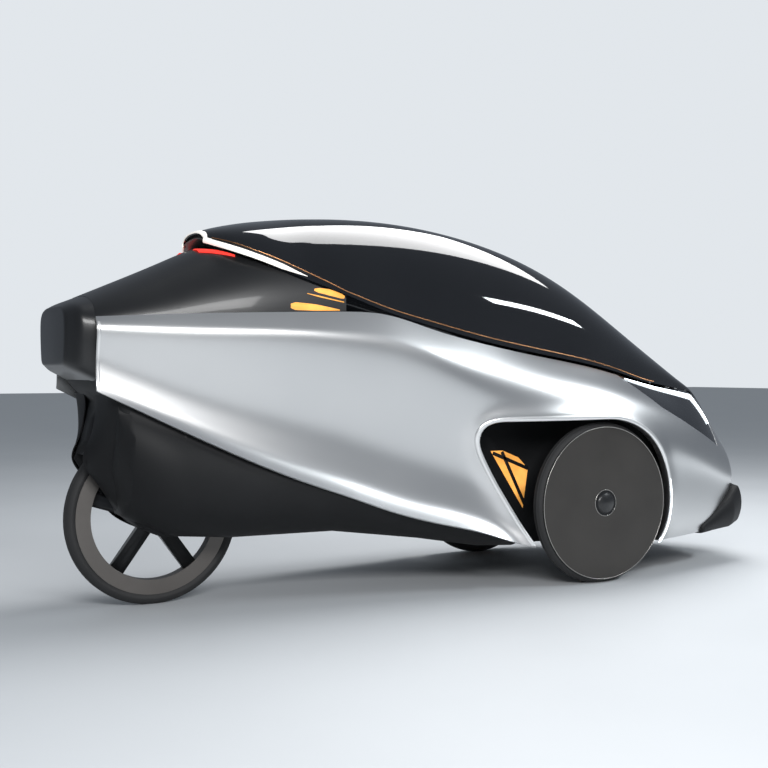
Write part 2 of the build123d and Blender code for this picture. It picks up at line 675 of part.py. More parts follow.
with BuildPart() as battery:
    add(box_between((-400, -150, 150), (-200, 150, 345)))
    add(cavity, mode=Mode.INTERSECT)
    add(side_prism([(-150, 345), (-420, 262), (-690, 905), (-150, 905)], -200, 200), mode=Mode.SUBTRACT)
save(battery.part, "battery")

# Dashboard between the tub's sides, with a display on it
with BuildPart() as dashboard:
    add(box_between((330, -320, 590), (500, 320, 632)))
    add(cavity, mode=Mode.INTERSECT)
save(dashboard.part, "dashboard")
display_plane = Plane(origin=(360, 0, 632), x_dir=(0, 1, 0), z_dir=(0, 0, 1))
with BuildPart() as display:
    with BuildSketch(display_plane):
        Rectangle(190, 18)
    extrude(amount=95)
save(display.part, "display")

# Steering column and handlebar
tilt = math.radians(COLUMN_TILT)
column_dir = Vector(-math.sin(tilt), 0, math.cos(tilt))
column_top = Vector(*COLUMN_TOP)
with BuildPart() as steering_column:
    add(rod(column_top - column_dir * 480, column_dir, 480, COLUMN_R))
    add(cavity, mode=Mode.INTERSECT)
    add(rod(column_top, column_dir, 42, COLUMN_PIN_R))
save(steering_column.part, "steering_column")

BAR_HALF = 165.0
UPRIGHT_R = 9.0
hub_base = column_top + column_dir * 4
bar_height = hub_base + column_dir * 19
with BuildPart() as handlebar:
    add(rod(hub_base, column_dir, 38, 18))
    add(rod(bar_height - Vector(0, BAR_HALF, 0), (0, 1, 0), 2 * BAR_HALF, 11))
    for side in (1, -1):
        add(rod(bar_height + Vector(0, side * (BAR_HALF - 14), 0), column_dir, 129, UPRIGHT_R))
    add(rod(hub_base - column_dir * 10, column_dir, 70, COLUMN_PIN_R + FIT), mode=Mode.SUBTRACT)
save(handlebar.part, "handlebar")
with BuildPart() as grip:
    foot = bar_height + Vector(0, BAR_HALF - 14, 0) + column_dir * 22
    add(rod(foot, column_dir, 112, 17))
    add(rod(foot, column_dir, 108, UPRIGHT_R + FIT), mode=Mode.SUBTRACT)
save_pair(grip.part, "grip")

# Lifting pad under the floor
with BuildPart() as lifting_pad:
    add(box_between((-420, -40, 180), (-340, 40, 215)))
    add(tub_outside, mode=Mode.SUBTRACT)
save(lifting_pad.part, "lifting_pad")
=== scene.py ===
"""Looks of the enclosed electric tricycle, in metres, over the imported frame."""
import json
import math

import bpy
import bmesh
import numpy as np
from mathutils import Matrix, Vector

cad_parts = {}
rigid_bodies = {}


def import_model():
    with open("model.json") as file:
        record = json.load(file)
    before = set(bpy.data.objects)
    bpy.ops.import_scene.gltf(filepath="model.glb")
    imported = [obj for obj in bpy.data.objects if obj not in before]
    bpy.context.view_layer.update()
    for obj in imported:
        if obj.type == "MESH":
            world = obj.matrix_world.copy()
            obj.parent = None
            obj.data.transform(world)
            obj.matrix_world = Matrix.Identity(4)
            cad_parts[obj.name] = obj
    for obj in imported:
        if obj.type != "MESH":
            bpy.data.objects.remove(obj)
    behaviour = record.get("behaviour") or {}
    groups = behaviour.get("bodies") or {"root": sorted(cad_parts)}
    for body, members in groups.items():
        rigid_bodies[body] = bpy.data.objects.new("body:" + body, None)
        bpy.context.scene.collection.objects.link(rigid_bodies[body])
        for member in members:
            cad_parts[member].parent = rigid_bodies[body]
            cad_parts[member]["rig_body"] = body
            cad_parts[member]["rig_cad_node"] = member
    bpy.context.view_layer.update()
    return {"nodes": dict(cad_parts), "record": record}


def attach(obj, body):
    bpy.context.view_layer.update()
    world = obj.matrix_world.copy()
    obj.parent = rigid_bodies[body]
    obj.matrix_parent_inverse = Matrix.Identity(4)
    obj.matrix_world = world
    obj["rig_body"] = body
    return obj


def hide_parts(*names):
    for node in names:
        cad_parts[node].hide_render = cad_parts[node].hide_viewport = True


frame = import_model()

nodes = frame["nodes"]
bpy.ops.object.select_all(action="DESELECT")

# The part is drawn about its own zero; the frame's x is the drawn x plus this
SHIFT = -0.0525
FRONT_AXLE, REAR_AXLE, AXLE_Z = 0.451, -0.88, 0.25
FRONT_X, REAR_X = FRONT_AXLE + SHIFT, REAR_AXLE + SHIFT
WHEEL_Y = 0.347
WHEEL_R = 0.25


# Shader wrapper
class Val:
    """A shader socket or constant that can be used in sums."""

    def __init__(self, tree, socket):
        self.tree = tree
        self.socket = socket

    def math(self, kind, *others):
        made = self.tree.nodes.new("ShaderNodeMath")
        made.operation = kind
        for slot, value in zip(made.inputs, (self, *others)):
            link(self.tree, slot, value)
        return Val(self.tree, made.outputs[0])

    def __add__(self, other):
        return self.math("ADD", other)

    def __mul__(self, other):
        return self.math("MULTIPLY", other)

    def __sub__(self, other):
        return self.math("SUBTRACT", other)

    def __rsub__(self, other):
        return (self * -1.0) + other

    __radd__ = __add__
    __rmul__ = __mul__

    def clamp(self):
        return self.math("MINIMUM", 1.0).math("MAXIMUM", 0.0)

    def step(self, low, high):
        """0 below low and 1 above high, with a straight ramp between."""
        return ((self - low) * (1.0 / (high - low))).clamp()


def link(tree, slot, value):
    """Feed a socket, a colour or a number into an input."""
    if isinstance(value, Val):
        tree.links.new(value.socket, slot)
    elif isinstance(value, (tuple, list)):
        slot.default_value = (*value, 1.0) if len(value) == 3 and slot.type == "RGBA" else value
    else:
        slot.default_value = value


class Paint:
    """One material and the nodes in it."""

    def __init__(self, name):
        self.material = bpy.data.materials.new(name)
        self.material.use_nodes = True
        self.tree = self.material.node_tree
        self.shader = self.tree.nodes["Principled BSDF"]
        self.output = self.tree.nodes["Material Output"]

    def node(self, kind, settings=None, inputs=None, out=0):
        made = self.tree.nodes.new(kind)
        for key, value in (settings or {}).items():
            setattr(made, key, value)
        for key, value in (inputs or {}).items():
            link(self.tree, made.inputs[key], value)
        return Val(self.tree, made.outputs[out])

    def coords(self):
        return self.node("ShaderNodeTexCoord", out=3)

    def split(self, vector):
        """The x, y and z of a vector."""
        made = self.tree.nodes.new("ShaderNodeSeparateXYZ")
        link(self.tree, made.inputs[0], vector)
        return [Val(self.tree, socket) for socket in made.outputs]

    def noise(self, scale, detail=3.0):
        inputs = {"Vector": self.coords(), "Scale": scale, "Detail": detail}
        return self.node("ShaderNodeTexNoise", inputs=inputs)

    def mix(self, factor, first, second):
        return self.node(
            "ShaderNodeMix", {"data_type": "RGBA"}, {0: factor, 6: first, 7: second}, out=2)

    def set(self, **values):
        for key, value in values.items():
            link(self.tree, self.shader.inputs[key.replace("_", " ")], value)
        return self

    def bump(self, height, strength, distance):
        inputs = {"Height": height, "Strength": strength, "Distance": distance}
        link(self.tree, self.shader.inputs["Normal"], self.node("ShaderNodeBump", inputs=inputs))
        return self


def solid_paint(name, low, high, rough, metallic=0.0, scale=6.0, bump=0.0, coat=0.0, sheen=0.5):
    """A paint whose colour and roughness drift a little over the surface."""
    paint = Paint(name)
    drift = paint.noise(scale)
    paint.set(Base_Color=paint.mix(drift, low, high), Metallic=metallic)
    paint.set(Roughness=drift * 0.10 + (rough - 0.05))
    paint.set(Coat_Weight=coat, Coat_Roughness=0.06, Specular_IOR_Level=sheen)
    if bump:
        paint.bump(paint.noise(400.0, 2.0), bump, 0.0006)
    return paint


def glow_paint(name, colour, strength, base, scale=60.0, least=0.85):
    """A glowing face, a little uneven: a lit lamp's, and on the blade a painted highlight."""
    paint = Paint(name)
    drift = paint.noise(scale).step(0.35, 0.65)
    paint.set(Base_Color=base, Roughness=0.2, Emission_Strength=strength)
    paint.set(Emission_Color=paint.mix(drift, tuple(c * least for c in colour), colour))
    return paint


# Plain finishes: key, material, darker and lighter colour, roughness and what else differs
PLAIN_FINISHES = (
    ("black_paint", "black_satin", (0.007, 0.0073, 0.008), (0.012, 0.0125, 0.0135), 0.34, {"coat": 0.2}),
    ("black_plastic", "black_moulded", (0.006, 0.0062, 0.007), (0.011, 0.0115, 0.0125), 0.55,
     {"bump": 0.12, "sheen": 0.22}),
    ("grey_plastic", "grey_moulded", (0.014, 0.0145, 0.0155), (0.024, 0.0245, 0.026), 0.5, {"bump": 0.15}),
    ("steel", "coated_steel", (0.04, 0.04, 0.043), (0.07, 0.07, 0.075), 0.4, {"metallic": 0.6}),
    ("tyre", "tyre_rubber", (0.012, 0.012, 0.0125), (0.026, 0.026, 0.027), 0.72, {"bump": 0.3}),
    ("rubber", "soft_rubber", (0.015, 0.015, 0.016), (0.03, 0.03, 0.03), 0.68, {"bump": 0.3}),
    ("grey_rim", "satin_rim", (0.115, 0.106, 0.099), (0.16, 0.148, 0.138), 0.4, {"metallic": 0.6}),
    ("edge_line", "cover_edge", (0.42, 0.41, 0.39), (0.52, 0.50, 0.47), 0.3, {"metallic": 0.9}),
    # Paler copy of the panel silver for its rolled edges: real edges, with a painted highlight in their
    # colour
    ("highlight_silver", "highlight_silver", (0.78, 0.78, 0.775), (0.88, 0.875, 0.87), 0.30, {"metallic": 0.85}),
    ("screen", "screen_glass", (0.004, 0.005, 0.007), (0.008, 0.01, 0.012), 0.12, {}),
    ("copper", "copper_line", (0.55, 0.25, 0.11), (0.68, 0.33, 0.15), 0.28, {"metallic": 1.0}),
    ("lamp_lens", "dark_lens", (0.006, 0.007, 0.009), (0.012, 0.013, 0.016), 0.12, {"coat": 1.0}),
)
# Lit finishes: key, material, the light's colour and strength, the unlit colour and how uneven it is
LIT_FINISHES = (
    # The blade is a cream trim strip and no lamp: its glow is a painted highlight
    ("blade", "blade_painted_highlight", (1.0, 0.95, 0.87), 0.5, (0.92, 0.89, 0.84), {}),
    ("amber_lens", "amber_lit", (1.0, 0.47, 0.12), 0.85, (0.7, 0.30, 0.05), {"scale": 14.0, "least": 0.35}),
    ("red_lens", "red_lit", (1.0, 0.05, 0.03), 1.1, (0.5, 0.02, 0.02), {}),
    ("led", "white_led", (0.86, 0.95, 1.0), 4.0, (0.8, 0.85, 0.9), {}),
)


def make_paints():
    """Every finish in the scene, by name."""
    paints = {
        "silver": satin_silver(), "bronze_disc": brushed_disc(), "seat_cloth": seat_cloth(),
        "smoked_glass": smoked_glass(),
    }
    for key, name, low, high, rough, more in PLAIN_FINISHES:
        paints[key] = solid_paint(name, low, high, rough, **more)
    for key, name, colour, strength, base, more in LIT_FINISHES:
        paints[key] = glow_paint(name, colour, strength, base, **more)
    return paints


def satin_silver():
    """Bare satin metal of the side panels, with a fine grain."""
    paint = Paint("satin_silver")
    cloud = paint.noise(2.2, 2.0)
    grain = paint.noise(900.0, 2.0)
    paint.set(Base_Color=paint.mix(cloud, (0.60, 0.605, 0.61), (0.69, 0.69, 0.685)), Metallic=1.0)
    paint.set(Roughness=cloud * 0.05 + grain * 0.06 + 0.265, Coat_Weight=0.25, Coat_Roughness=0.12)
    return paint.bump(grain, 0.03, 0.0004)


def brushed_disc():
    """Dark bronze of the wheel covers, brushed in rings about the axle."""
    paint = Paint("brushed_disc")
    about_axle = paint.node(
        "ShaderNodeMapping", inputs={"Vector": paint.coords(), "Location": (-FRONT_X, 0.0, -AXLE_Z)})
    along, _, up = paint.split(about_axle)
    reach = (along * along + up * up).math("SQRT")
    rings = paint.node(
        "ShaderNodeTexNoise", {"noise_dimensions": "1D"}, {"W": reach, "Scale": 700.0, "Detail": 3.0})
    cloud = paint.noise(7.0)
    paint.set(Base_Color=paint.mix(cloud, (0.046, 0.043, 0.040), (0.072, 0.067, 0.062)), Metallic=0.6)
    paint.set(Roughness=rings * 0.14 + 0.33)
    return paint.bump(rings, 0.10, 0.0005)


def seat_cloth():
    """Dark woven cloth of the seat."""
    paint = Paint("seat_cloth")
    weave = paint.node("ShaderNodeTexVoronoi", inputs={"Vector": paint.coords(), "Scale": 420.0})
    colour = paint.mix(paint.noise(9.0), (0.045, 0.046, 0.05), (0.075, 0.076, 0.08))
    paint.set(Base_Color=colour, Roughness=weave * 0.2 + 0.75)
    return paint.bump(weave, 0.4, 0.001)


def smoked_glass():
    """Dark clear plastic: clearer round the rider's head, nearly black to the nose, the rear and the rim."""
    paint = Paint("smoked_canopy")
    along, _, height = paint.split(paint.coords())
    drift = paint.noise(4.0)
    rim_line = 1.0 - along.step(-0.85, 0.85) * 0.30
    to_nose = along.step(0.1, 0.6) * 0.12
    to_rim = (rim_line - height).step(-0.02, 0.08) * 0.08
    to_rear = (along * -1.0).step(0.52, 0.66) * 0.2
    dark = 0.84 + drift * 0.04 + to_nose + to_rim + to_rear
    tint = paint.node("ShaderNodeBsdfTransparent", inputs={"Color": (0.55, 0.58, 0.62)})
    paint.set(Base_Color=paint.mix(drift, (0.006, 0.0065, 0.008), (0.010, 0.011, 0.013)))
    paint.set(Roughness=drift * 0.02 + 0.03, Coat_Weight=0.6, Coat_Roughness=0.02, IOR=1.5)
    surface = Val(paint.tree, paint.shader.outputs[0])
    mixed = paint.node("ShaderNodeMixShader", inputs={0: dark.clamp(), 1: tint, 2: surface})
    paint.tree.links.new(mixed.socket, paint.output.inputs["Surface"])
    return paint


PAINTS = make_paints()


# Spline surfaces
SIDE_VIEW = [0, 2]


def basis(knots, at):
    """Weights of the knots' values in a natural cubic spline, for each place in at."""
    knots = np.asarray(knots, float)
    at = np.asarray(at, float)
    count = len(knots)
    gap = np.diff(knots)
    left = np.eye(count)
    right = np.zeros((count, count))
    for i in range(1, count - 1):
        left[i, i - 1:i + 2] = gap[i - 1] / 6, (gap[i - 1] + gap[i]) / 3, gap[i] / 6
        right[i, i - 1:i + 2] = 1 / gap[i - 1], -1 / gap[i - 1] - 1 / gap[i], 1 / gap[i]
    bend = np.linalg.solve(left, right)
    cell = np.clip(np.searchsorted(knots, at) - 1, 0, count - 2)
    width = gap[cell]
    a = (knots[cell + 1] - at) / width
    b = 1 - a
    eye = np.eye(count)
    weights = a[:, None] * eye[cell] + b[:, None] * eye[cell + 1]
    curve_a = (a ** 3 - a) * width ** 2 / 6
    curve_b = (b ** 3 - b) * width ** 2 / 6
    return weights + curve_a[:, None] * bend[cell] + curve_b[:, None] * bend[cell + 1]


class Skin:
    """A smooth surface through a net of points, rows along the body and columns across it."""

    def __init__(self, net):
        self.net = np.asarray(net, float)
        steps = np.linalg.norm(np.diff(self.net, axis=0), axis=2).mean(axis=1)
        self.s_knots = np.concatenate([[0], np.cumsum(steps)])
        steps = np.linalg.norm(np.diff(self.net, axis=1), axis=2).mean(axis=0)
        self.t_knots = np.concatenate([[0], np.cumsum(steps)])
        self.s_knots /= self.s_knots[-1]
        self.t_knots /= self.t_knots[-1]

    def at(self, s, t):
        ws, wt = basis(self.s_knots, s), basis(self.t_knots, t)
        return np.einsum("ni,nj,ijk->nk", ws, wt, self.net)

    def grid(self, s, t):
        ws, wt = basis(self.s_knots, s), basis(self.t_knots, t)
        return np.einsum("ai,bj,ijk->abk", ws, wt, self.net)

    def normal(self, s, t):
        """Unit normals, from the runs along and across the skin."""
        step = 1e-3
        along = self.at(np.clip(s + step, 0, 1), t) - self.at(np.clip(s - step, 0, 1), t)
        across = self.at(s, np.clip(t + step, 0, 1)) - self.at(s, np.clip(t - step, 0, 1))
        normal = np.cross(along, across)
        return normal / (np.linalg.norm(normal, axis=1)[:, None] + 1e-12)

    def solve(self, s, t, want, rounds=6):
        """Places at the wanted side-view points, searched from a start with capped steps."""
        s, t = s.copy(), t.copy()
        step = 1e-4
        for _ in range(rounds):
            here = self.at(s, t)[:, SIDE_VIEW]
            ds = (self.at(s + step, t)[:, SIDE_VIEW] - here) / step
            dt = (self.at(s, t + step)[:, SIDE_VIEW] - here) / step
            miss = want - here
            det = ds[:, 0] * dt[:, 1] - ds[:, 1] * dt[:, 0]
            det = np.where(np.abs(det) < 1e-9, 1e-9, det)
            move_s = (miss[:, 0] * dt[:, 1] - miss[:, 1] * dt[:, 0]) / det
            move_t = (ds[:, 0] * miss[:, 1] - ds[:, 1] * miss[:, 0]) / det
            s = np.clip(s + np.clip(move_s, -0.03, 0.03), 0, 1)
            t = np.clip(t + np.clip(move_t, -0.08, 0.08), 0, 1)
        return s, t


def inside(points, outline):
    """True for each side-view point inside a closed outline."""
    x, z = points[:, 0], points[:, 1]
    hit = np.zeros(len(points), bool)
    for (x0, z0), (x1, z1) in zip(outline, np.roll(outline, -1, axis=0)):
        cross = (z0 > z) != (z1 > z)
        run = np.where(cross, (x1 - x0) * (z - z0) / np.where(z1 == z0, 1e-12, z1 - z0) + x0, -1e9)
        hit ^= cross & (x < run)
    return hit


def nearest(points, outline):
    """The nearest point on a closed outline to each point, and how far off it is."""
    best = np.full(len(points), 1e9)
    place = np.zeros_like(points)
    for start, end in zip(outline, np.roll(outline, -1, axis=0)):
        run = end - start
        share = np.clip(((points - start) @ run) / max(run @ run, 1e-12), 0, 1)
        spot = start + share[:, None] * run
        gap = np.linalg.norm(points - spot, axis=1)
        closer = gap < best
        best[closer] = gap[closer]
        place[closer] = spot[closer]
    return place, best


def mesh_object(name, verts, faces, paint):
    """A mesh object from points and faces."""
    mesh = bpy.data.meshes.new(name)
    mesh.from_pydata([tuple(v) for v in verts], [], [tuple(int(i) for i in f) for f in faces])
    mesh.validate()
    made = bpy.data.objects.new(name, mesh)
    bpy.context.scene.collection.objects.link(made)
    mesh.materials.append(PAINTS[paint].material)
    mesh.polygons.foreach_set("use_smooth", [True] * len(mesh.polygons))
    return made


def grid_quads(rows, columns):
    """Four-sided faces of a grid whose points are numbered row by row."""
    index = np.arange(rows * columns).reshape(rows, columns)
    corners = [index[:-1, :-1], index[1:, :-1], index[1:, 1:], index[:-1, 1:]]
    return np.stack(corners, axis=-1).reshape(-1, 4)


def active(piece):
    """Select one piece alone."""
    bpy.ops.object.select_all(action="DESELECT")
    piece.select_set(True)
    bpy.context.view_layer.objects.active = piece


def apply(piece, kind, **settings):
    """Add one modifier and apply it."""
    active(piece)
    made = piece.modifiers.new(kind, kind)
    for key, value in settings.items():
        setattr(made, key, value)
    bpy.ops.object.modifier_apply(modifier=made.name)


def smooth_by(piece, degrees):
    """Shade smooth, with sharp edges past an angle."""
    active(piece)
    bpy.ops.object.shade_smooth_by_angle(angle=math.radians(degrees))


def settle(piece, body, stands_for=()):
    """Ride a body and stand for its nodes."""
    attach(piece, body)
    if stands_for:
        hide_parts(*stands_for)
    return piece


def mirrored(piece, name):
    """A copy on the other side."""
    twin = piece.copy()
    twin.data = piece.data.copy()
    twin.name = name
    bpy.context.scene.collection.objects.link(twin)
    for vertex in twin.data.vertices:
        vertex.co.y = -vertex.co.y
    twin.data.flip_normals()
    return twin


# Side panel stations, as in the part, millimetres: x, y and heading of the widest line, then the height and
# inset of the top edge, the height of the bulge, and the height and inset of the waist and of the sill
PANEL = np.array([
    (-1097, 234, 0, 802, 14, 765, 690, 12, 610, 4),
    (-830, 268, 0, 815, 22, 752, 600, 28, 480, 5),
    (-530, 297, 0, 825, 26, 742, 520, 40, 352, 4),
    (-400, 308, 0, 828, 29, 730, 487, 44, 306, 4),
    (-280, 318, 0, 822, 32, 712, 450, 46, 262, 3),
    (-130, 333, 0, 782, 37, 662, 405, 46, 219, 3),
    (20, 348, 0, 746, 44, 600, 360, 42, 182, 4),
    (220, 374, 0, 709, 68, 540, 330, 24, 122, 8),
    (451, 390, 0, 671, 86, 500, 330, 8, 115, 18),
    (700, 378, 8, 619, 98, 440, 300, 8, 115, 26),
    (840, 350, 15, 601, 103, 400, 285, 8, 118, 26),
    (990, 300, 23, 575, 85, 350, 260, 8, 128, 24),
    (1090, 252, 33, 487, 74, 315, 245, 8, 150, 22),
    (1160, 205, 52, 432, 68, 295, 240, 8, 175, 20),
    (1222, 0, 90, 420, 66, 300, 255, 6, 205, 14),
], float)


def panel_net(offset):
    """Points of the left panel's skin, eight up each station."""
    net = []
    for x, y, heading, top, in_top, bulge, waist, in_waist, sill, in_sill in PANEL:
        out = (math.sin(math.radians(heading)), math.cos(math.radians(heading)))
        tuck = in_sill - in_waist
        inset = [
            (in_top, top), (in_top * 0.25, (top + bulge) / 2), (0, bulge),
            (in_waist * 0.5, (bulge + waist) / 2), (in_waist, waist),
            (in_waist + tuck * 0.12, (waist + sill) / 2),
            (in_waist + tuck * 0.45, sill + (waist - sill) * 0.2), (in_sill, sill),
        ]
        net.append([((x + out[0] * (offset - d)) / 1000 + SHIFT, (y + out[1] * (offset - d)) / 1000, z / 1000)
                    for d, z in inset])
    return net


# Front wheel opening: a round part about the axle, a corner behind it and a slant down to the sill
ARCH_R = 0.262
ARCH_CORNER = [(0.025, 0.415), (0.010, 0.448), (0.010, 0.478), (0.028, 0.500), (0.072, 0.512)]
ARCH_FOOT, ARCH_LOW = 0.268, -0.01


def arch_outline(grow=0.0):
    """The front wheel opening in side view, larger by grow."""
    (first_x, first_z), *rest = ARCH_CORNER
    points = [(ARCH_FOOT - grow, ARCH_LOW), (first_x - grow, first_z)]
    points += [(x - grow, z + grow) for x, z in rest]
    radius = ARCH_R + grow
    for degrees in range(90, -40, -5):
        angle = math.radians(degrees)
        points.append((FRONT_AXLE + radius * math.cos(angle), AXLE_Z + radius * math.sin(angle)))
    points.append((points[-1][0], ARCH_LOW))
    return round_off(np.array(points) + (SHIFT, 0))


def round_off(points):
    """The outline's points closer together, with soft corners."""
    fine = []
    count = len(points)
    for i in range(count):
        start, end = points[i], points[(i + 1) % count]
        pieces = max(2, int(np.linalg.norm(end - start) / 0.012))
        fine += [start + (end - start) * k / pieces for k in range(pieces)]
    fine = np.array(fine)
    for _ in range(3):
        fine = (np.roll(fine, 1, axis=0) + 2 * fine + np.roll(fine, -1, axis=0)) / 4
    return fine


# Outline of the headlamp's lens in side view, millimetres
LAMP = np.array([
    (556, 650), (713, 541), (880, 464), (1022, 403), (1004, 442), (984, 486), (958, 537), (940, 580),
    (940, 700), (556, 700)]) / 1000 + (SHIFT, 0)


def cut_grid(skin, s, t, holes, keep=False):
    """A grid on the skin without the faces in the holes, or only those, its edges drawn to the outlines."""
    S, T = (a.ravel() for a in np.meshgrid(s, t, indexing="ij"))
    points = skin.at(S, T)
    quads = grid_quads(len(s), len(t))
    middles = points[quads].mean(axis=1)[:, SIDE_VIEW]
    gone = np.zeros(len(quads), bool)
    owner = np.full(len(points), -1)
    for number, outline in enumerate(holes):
        hit = inside(middles, outline)
        gone |= hit
        edge = np.intersect1d(quads[hit].ravel(), quads[~hit].ravel())
        owner[edge] = number
    quads = quads[gone] if keep else quads[~gone]
    for number, outline in enumerate(holes):
        edge = np.where(owner == number)[0]
        want, _ = nearest(points[edge][:, SIDE_VIEW], outline)
        S[edge], T[edge] = skin.solve(S[edge], T[edge], want)
    return skin.at(S, T), quads, owner


def edge_pairs(quads):
    """Edges with one face, in that face's turning order."""
    sides = np.concatenate([quads[:, [k, (k + 1) % 4]] for k in range(4)])
    keys = np.sort(sides, axis=1)
    _, first, count = np.unique(keys, axis=0, return_index=True, return_counts=True)
    return sides[first[count == 1]]


# The panels' flare round the wheel opening, and its rolled lip: how far each ring lies in and out
FLARE, FLARE_REACH = 0.011, 0.034
LIP_RINGS = ((0.0035, 0.004), (0.013, 0.007), (0.030, 0.007))
LIP_REACH = 0.007
OPENING_MIDDLE = np.array([0.35, 0.30])
PANEL_GRID = np.linspace(0, 1, 420), np.linspace(0, 1, 110)


def rolled_lip(points, quads, owner):
    """The panel's points and faces with rings that turn in from the edge of the wheel opening."""
    verts = list(points)
    faces = list(quads)
    edges = [(a, b) for a, b in edge_pairs(quads) if owner[a] == 0 and owner[b] == 0]
    last = {}
    for inward, outward in LIP_RINGS:
        fresh = {}
        for a, b in edges:
            for v in (a, b):
                if v not in fresh:
                    away = points[v][SIDE_VIEW] - OPENING_MIDDLE
                    away = away / np.linalg.norm(away) * (LIP_REACH - outward) * 0.5
                    fresh[v] = len(verts)
                    verts.append(points[v] - (away[0], inward, away[1]))
            faces.append((last.get(b, b), last.get(a, a), fresh[a], fresh[b]))
        last = fresh
    return verts, faces


def both_sides(left, wall, name, node):
    """Give a left-hand skin its wall, make its twin and let both stand for their nodes."""
    thicken(left, wall)
    smooth_by(left, 50)
    right = mirrored(left, name + "_right")
    settle(left, "body", [node + "_left"])
    settle(right, "body", [node + "_right"])


def side_panels():
    """The silver skins with a flared, rolled lip round the wheel opening, and the lamp faces in them."""
    skin = Skin(panel_net(0.0))
    arch = arch_outline()
    points, quads, owner = cut_grid(skin, *PANEL_GRID, [arch, LAMP])
    _, gap = nearest(points[:, SIDE_VIEW], arch)
    flare = FLARE * np.exp(-(gap / FLARE_REACH) ** 2)
    points[:, 1] += flare * np.clip((0.9 - points[:, 0]) / 0.2, 0, 1)
    left = mesh_object("side_panel_skin_left", *rolled_lip(points, quads, owner), "silver")
    both_sides(left, 0.005, "side_panel_skin", "side_panel")

    deep = Skin(panel_net(-1.5))
    points, quads, _ = cut_grid(deep, *PANEL_GRID, [LAMP], keep=True)
    left = mesh_object("headlamp_face_left", points, quads, "lamp_lens")
    both_sides(left, 0.014, "headlamp_face", "headlamp")
    return skin


def drop_loose(piece):
    """Delete points that no face uses."""
    made = bmesh.new()
    made.from_mesh(piece.data)
    bmesh.ops.delete(made, geom=[v for v in made.verts if not v.link_faces], context="VERTS")
    made.to_mesh(piece.data)
    made.free()


def outward_faces(piece):
    """True if most faces of a left-hand skin point to +Y."""
    drop_loose(piece)
    return sum(p.normal.y * p.area for p in piece.data.polygons) > 0


def thicken(piece, wall):
    """Give a left-hand skin a wall on its inner side."""
    apply(piece, "SOLIDIFY", thickness=wall, offset=-1.0 if outward_faces(piece) else 1.0)


def ribbon(name, skin, path, half, lift, thick, paint, start=0.15):
    """A raised strip on a skin along a side-view path, and its twin on the other side.

    half is the half width, or shares of the length and the half widths there; start is where the search
    across the skin begins.
    """
    path = np.array(path)
    steps = np.concatenate([[0], np.cumsum(np.linalg.norm(np.diff(path, axis=0), axis=1))])
    fine = np.linspace(0, steps[-1], max(24, int(steps[-1] / 0.008)))
    line = basis(steps, fine) @ path
    along = np.gradient(line, axis=0)
    along /= np.linalg.norm(along, axis=1)[:, None]
    across = np.stack([-along[:, 1], along[:, 0]], axis=1)
    width = np.interp(fine / fine[-1], *half) if isinstance(half, tuple) else np.full(len(fine), half)
    rows = []
    for share in (-1.0, -0.6, 0.0, 0.6, 1.0):
        want = line + across * (width * share)[:, None]
        guess_s = np.interp(want[:, 0], skin.net[:, 2, 0], skin.s_knots)
        s, t = skin.solve(guess_s, np.full(len(fine), start), want, rounds=14)
        normal = skin.normal(s, t)
        normal *= np.sign(normal[:, 1:2] + 1e-9)
        height = lift if abs(share) == 1.0 else lift + thick
        rows.append(skin.at(s, t) + normal * height)
    left = mesh_object(name + "_left", np.concatenate(rows), grid_quads(5, len(fine))[:, ::-1], paint)
    thicken(left, 0.0015)
    smooth_by(left, 60)
    right = mirrored(left, name + "_right")
    for piece in (left, right):
        settle(piece, "body")
    return left, right


# Vaulted shells: x, half width, edge height, crown height, millimetres
CANOPY = [
    (-758, 86, 1030, 1058), (-724, 172, 1004, 1070), (-660, 228, 974, 1085), (-530, 257, 922, 1106),
    (-400, 273, 876, 1119), (-280, 286, 832, 1124), (-130, 296, 791, 1120), (20, 304, 755, 1103),
    (220, 306, 718, 1060), (451, 304, 680, 967), (580, 294, 653, 884), (686, 280, 628, 811),
    (813, 251, 610, 727), (899, 233, 597, 669), (956, 217, 584, 631), (1011, 199, 534, 597),
    (1049, 183, 497, 572), (1103, 142, 444, 535), (1137, 56, 432, 472),
]
DECK = [
    (-1090, 204, 774, 866), (-1000, 222, 778, 905), (-880, 231, 784, 958), (-780, 240, 788, 1004),
    (-660, 253, 792, 1054), (-530, 263, 794, 1096), (-400, 273, 796, 1108),
]
# Tail: as the deck, with the height and half width of the lower edge
TAIL = [
    (-1086, 204, 774, 867, 634, 190), (-1115, 198, 773, 855, 650, 182), (-1138, 184, 771, 845, 662, 168),
    (-1155, 152, 768, 836, 674, 138),
]
CANOPY_LINE = [(-830, 1042), (-740, 1008), (-660, 974), (-530, 922), (-400, 876), (-280, 832), (70, 745)]


def vault_point(half, edge, crown, share, power=0.86):
    """A point of the arch section; share runs from -1 on one edge over 0 at the crown to 1."""
    angle = abs(share) * math.pi / 2
    y = half * math.sin(angle) ** power
    z = edge + (crown - edge) * math.cos(angle) ** power
    return math.copysign(y, share) if share else 0.0, z


def vault_net(rows, shares):
    """Points of a vaulted shell, a row of arch points at each station."""
    net = []
    for x, half, edge, crown in rows:
        arch = [vault_point(half, edge, crown, share) for share in shares]
        net.append([(x / 1000 + SHIFT, y / 1000, z / 1000) for y, z in arch])
    return net


def fair(skin, s, t, rounds=300):
    """A skin's grid with an even run along its length; its edges and ends stay where they are."""
    grid = skin.grid(s, t)
    even = grid.copy()
    for _ in range(rounds):
        even[1:-1] = (even[:-2] + 2 * even[1:-1] + even[2:]) / 4
    ease = [np.clip((np.minimum(k, 1 - k) - still) / reach, 0, 1)
            for k, still, reach in ((s, 0.09, 0.10), (t, 0, 0.16))]
    return grid + np.multiply.outer(*ease)[:, :, None] * (even - grid)


def share_at(skin, x):
    """The share along a skin at which its edge lies at a drawn x."""
    shares = np.linspace(0, 1, 400)
    return np.interp(x + SHIFT, skin.at(shares, np.zeros(400))[:, 0], shares)


